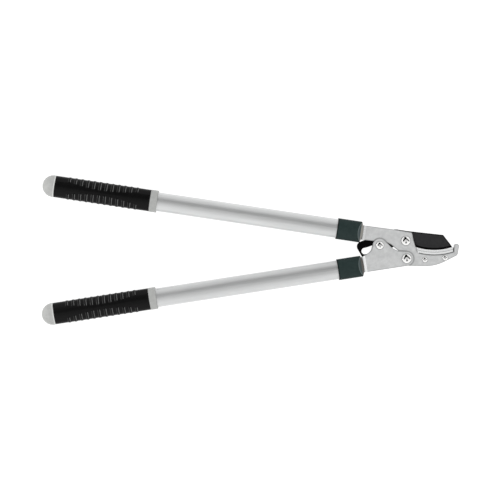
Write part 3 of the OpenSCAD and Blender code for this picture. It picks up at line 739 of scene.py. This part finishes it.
class LOPPER_OT_collars(bpy.types.Operator):
    """Adds the moulded collars at the fronts of the tubes"""

    bl_idname = "lopper.collars"
    bl_label = "Collars"

    def execute(self, context):
        """Rounds the collars' edges and paints highlights and reflections on their noses, zone by zone."""
        colours, edges = context.scene.lopper_colours, context.scene.lopper_edges
        material = collar_plastic("glass_filled_nylon", colours, edges)
        for side, slope in HANDLES.items():
            forward = forward_of(slope)
            edged_pieces(
                [f"{side}_collar"], edges.collar, material, smooth_angle=15,
                shape=partial(chamfer_crest, forward=forward, width=edges.crest),
            )
            piece = context.object
            nose = [face for face in piece.data.polygons if abs(face.normal.z) > NOSE_UP]
            # Each zone gets a paler tint as painted light; the lip's tint differs per handle, as light
            # falls differently on each.
            for zone, start in NOSE_ZONES.items():
                tint = getattr(colours, f"{side}_lip" if zone == "lip" else zone)
                rubbed = [face for face in nose if face.normal.dot(forward) > start]
                finish_faces(piece, painted_light_nylon(f"rubbed_nylon_{side}_{zone}", tint), rubbed)
        return {"FINISHED"}


class LOPPER_OT_plates(bpy.types.Operator):
    """Adds the stamped jaw and lever plates"""

    bl_idname = "lopper.plates"
    bl_label = "Plates"

    def execute(self, context):
        """Rounds the plates' edges as tumbling does, and paints highlights on their bends."""
        colours, edges = context.scene.lopper_colours, context.scene.lopper_edges
        flat = plated_plate("satin_plated_steel", colours, edges)
        low, high = BEND_UP
        for pair, tint in (("jaw", colours.jaw_highlight), ("lever", colours.lever_highlight)):
            bend = highlighted_bend(f"burnished_plated_steel_{pair}", tint)
            for node in (f"{pair}_plate_front", f"{pair}_plate_back"):
                edged_pieces([node], edges.plate, flat, smooth_angle=15)
                piece = context.object
                bent = [face for face in piece.data.polygons if low < abs(face.normal.z) < high]
                # The bends get a painted highlight.
                finish_faces(piece, bend, bent)
        return {"FINISHED"}


class LOPPER_OT_blade(bpy.types.Operator):
    """Adds the coated blade"""

    bl_idname = "lopper.blade"
    bl_label = "Blade"

    def execute(self, context):
        """Rounds the blade's edges under its coating."""
        material = blade_coating(
            "baked_non_stick_coating", context.scene.lopper_colours, context.scene.lopper_edges
        )
        edged_pieces(["blade"], context.scene.lopper_edges.blade, material, segments=2)
        return {"FINISHED"}


class LOPPER_OT_anvil(bpy.types.Operator):
    """Adds the anvil strip"""

    bl_idname = "lopper.anvil"
    bl_label = "Anvil"

    def execute(self, context):
        """Rounds the strip's edges and paints shade on its stem, which lies deep in the gaps."""
        colours, edges = context.scene.lopper_colours, context.scene.lopper_edges
        material = anvil_metal("brushed_aluminium_strip", colours, edges)
        edged_pieces(["anvil_insert"], edges.anvil, material, segments=2)
        piece = context.object
        low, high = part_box("anvil_insert")
        middle = (low[2] + high[2]) / 2
        level = [face for face in piece.data.polygons if abs(face.normal.z) > STEM_UP]
        stem = [face for face in level if abs(face.center.z - middle) < edges.stem_level]
        # The stem gets painted shade.
        finish_faces(piece, painted_stem_shade("sap_stained_aluminium", colours), stem)
        return {"FINISHED"}


class LOPPER_OT_fasteners(bpy.types.Operator):
    """Adds the bolts, screws, nuts and outer washers"""

    bl_idname = "lopper.fasteners"
    bl_label = "Fasteners"

    def execute(self, context):
        """Lowers the heads' domes and rounds the edges of heads, nuts and washers."""
        material = bolt_steel("bright_zinc_plated_steel", context.scene.lopper_colours)
        rounding = context.scene.lopper_edges.bolt
        plain = [node for node, slot in SLOT_OF.items() if slot == "bolt_steel" and node not in DOMES]
        edged_pieces(plain, rounding, material, segments=2)
        for node, kept in DOMES.items():
            edged_pieces([node], rounding, material, segments=2, shape=partial(lower_domes, kept=kept))
        return {"FINISHED"}


class LOPPER_OT_inner_fittings(bpy.types.Operator):
    """Finishes the plugs, rivets, washers, spacer and bush inside the head and handles"""

    bl_idname = "lopper.inner_fittings"
    bl_label = "Inner fittings"

    def execute(self, context):
        """Assigns finishes to the pieces whose solids already have their shape."""
        colours = context.scene.lopper_colours
        steel = inner_steel("oiled_turned_steel", colours)
        plastic = grey_plastic("moulded_abs_plugs", (colours.ring_dark, colours.ring_light))
        for node, slot in SLOT_OF.items():
            if slot in ("hidden_steel", "plug_plastic"):
                solid = frame["nodes"][node]
                solid.data.materials.clear()
                solid.data.materials.append(steel if slot == "hidden_steel" else plastic)
        return {"FINISHED"}


def area_light(name, place, target, size, power):
    """A soft box that looks at a target."""
    data = bpy.data.lights.new(name, "AREA")
    data.shape = "RECTANGLE"
    data.size, data.size_y = size
    data.energy = power
    light = bpy.data.objects.new(name, data)
    light.location = place
    light.rotation_euler = (Vector(target) - Vector(place)).to_track_quat("-Z", "Y").to_euler()
    bpy.context.scene.collection.objects.link(light)


def dark_stroke(tree, spot, start, end, half_width, kept):
    """Share of light that comes from a spot of the sky, past a dark stroke from start to end."""
    corner, stop = [Vector((tan(radians(x)), tan(radians(y)), 1.0)) for x, y in (start, end)]
    stroke = stop - corner
    offset = vector_result(tree, "SUBTRACT", {0: spot, 1: corner})
    along = vector_result(tree, "DOT_PRODUCT", {0: offset, 1: stroke / stroke.length_squared}, "Value")
    reached = add_node(tree, "ShaderNodeClamp", None, {"Value": along}).outputs["Result"]
    nearest = vector_result(tree, "SCALE", {0: stroke, "Scale": reached})
    gap = vector_result(tree, "DISTANCE", {0: offset, 1: nearest}, "Value")
    fade = [part * tan(radians(half_width)) for part in STROKE_FADE]
    return map_range(tree, gap, fade, (kept, 1.0), smooth=True)


def light_tent(studio):
    """World light like a white tent: dimmer overhead, at its ends and foot, under the photographer."""
    world = bpy.data.worlds.new("light_tent")
    world.use_nodes = True
    tree = world.node_tree
    background = tree.nodes["Background"]
    background.inputs["Color"].default_value = WHITE
    ray = add_node(tree, "ShaderNodeTexCoord").outputs["Generated"]
    parts = add_node(tree, "ShaderNodeSeparateXYZ", None, {"Vector": ray}).outputs
    upright = (0.0, sin(studio.lean), cos(studio.lean))
    aside = vector_result(tree, "CROSS_PRODUCT", {0: ray, 1: upright})
    away = vector_result(tree, "LENGTH", {0: aside}, "Value")
    strength = map_range(tree, away, (0.0, studio.opening), (studio.tent_dim, studio.tent_bright))
    stretch = calculate(tree, "DIVIDE", 1.0, calculate(tree, "MAXIMUM", parts["Z"], LEAST_UP))
    sky = vector_result(tree, "SCALE", {0: ray, "Scale": stretch})
    endwise = calculate(tree, "ABSOLUTE", parts["X"])
    shares = [dark_stroke(tree, sky, *stroke) for stroke in PHOTOGRAPHER.values()]
    shares.append(map_range(tree, endwise, ENDS_RANGE, (1.0, studio.tent_ends), smooth=True))
    shares.append(map_range(tree, parts["Z"], FOOT_RANGE, (studio.tent_foot, 1.0), smooth=True))
    for share in shares:
        strength = calculate(tree, "MULTIPLY", strength, share)
    tree.links.new(strength, background.inputs["Strength"])
    bpy.context.scene.world = world


class LOPPER_OT_studio(bpy.types.Operator):
    """Adds the floor, lights and camera"""

    bl_idname = "lopper.studio"
    bl_label = "Studio"

    def execute(self, context):
        """Looks straight down on the lopper, which lies on a white floor in a light tent."""
        studio = context.scene.lopper_studio
        middle = Vector((studio.view_x, studio.view_y, studio.view_level))
        bpy.ops.object.select_all(action="DESELECT")
        below = (middle.x, middle.y, -studio.floor_drop)
        bpy.ops.mesh.primitive_plane_add(size=studio.floor_width, location=below)
        floor = context.object
        floor.name = "floor"
        sheet = bpy.data.materials.new("white_floor_sheet")
        sheet.use_nodes = True
        shader = sheet.node_tree.nodes["Principled BSDF"]
        shader.inputs["Base Color"].default_value = studio.floor_colour
        shader.inputs["Roughness"].default_value = FLOOR_ROUGHNESS
        shader.inputs["Emission Color"].default_value = WHITE
        shader.inputs["Emission Strength"].default_value = studio.floor_glow
        floor.data.materials.append(sheet)

        light_tent(studio)
        for name, (offset, size, power) in STRIPS.items():
            area_light(name, middle + Vector(offset), middle, size, power)

        data = bpy.data.cameras.new("camera")
        data.lens = studio.lens
        camera = bpy.data.objects.new("camera", data)
        distance = studio.view_width * data.lens / data.sensor_width
        camera.location = middle + Vector((0.0, 0.0, distance))
        context.scene.collection.objects.link(camera)
        context.scene.camera = camera
        context.scene.view_settings.view_transform = "Standard"
        return {"FINISHED"}


PIECE_OPERATORS = (
    LOPPER_OT_tubes, LOPPER_OT_end_caps, LOPPER_OT_grip_sleeves, LOPPER_OT_grip_rings,
    LOPPER_OT_collars, LOPPER_OT_plates, LOPPER_OT_blade, LOPPER_OT_anvil,
    LOPPER_OT_fasteners, LOPPER_OT_inner_fittings,
)


class VIEW3D_PT_lopper(bpy.types.Panel):
    """Lists the lopper's pieces and its studio"""

    bl_label = "Lopper"
    bl_space_type = "VIEW_3D"
    bl_region_type = "UI"
    bl_category = "Lopper"

    def draw(self, context):
        """Draws one button per operator."""
        for operator in PIECE_OPERATORS + (LOPPER_OT_studio,):
            self.layout.operator(operator.bl_idname)


GROUPS = {"lopper_colours": LopperColours, "lopper_edges": LopperEdges, "lopper_studio": LopperStudio}
CLASSES = tuple(GROUPS.values()) + PIECE_OPERATORS + (LOPPER_OT_studio, VIEW3D_PT_lopper)


def register():
    """Registers the classes and hangs the settings on the scene."""
    for item in CLASSES:
        bpy.utils.register_class(item)
    for name, group in GROUPS.items():
        setattr(bpy.types.Scene, name, bpy.props.PointerProperty(type=group))


def unregister():
    """Takes the settings and classes away again."""
    for name in GROUPS:
        delattr(bpy.types.Scene, name)
    for item in reversed(CLASSES):
        bpy.utils.unregister_class(item)


def main():
    """Sets up the studio and builds every piece."""
    register()
    bpy.ops.lopper.studio()
    bpy.ops.lopper.tubes()
    bpy.ops.lopper.end_caps()
    bpy.ops.lopper.grip_sleeves()
    bpy.ops.lopper.grip_rings()
    bpy.ops.lopper.collars()
    bpy.ops.lopper.plates()
    bpy.ops.lopper.blade()
    bpy.ops.lopper.anvil()
    bpy.ops.lopper.fasteners()
    bpy.ops.lopper.inner_fittings()


if __name__ == "__main__":
    main()
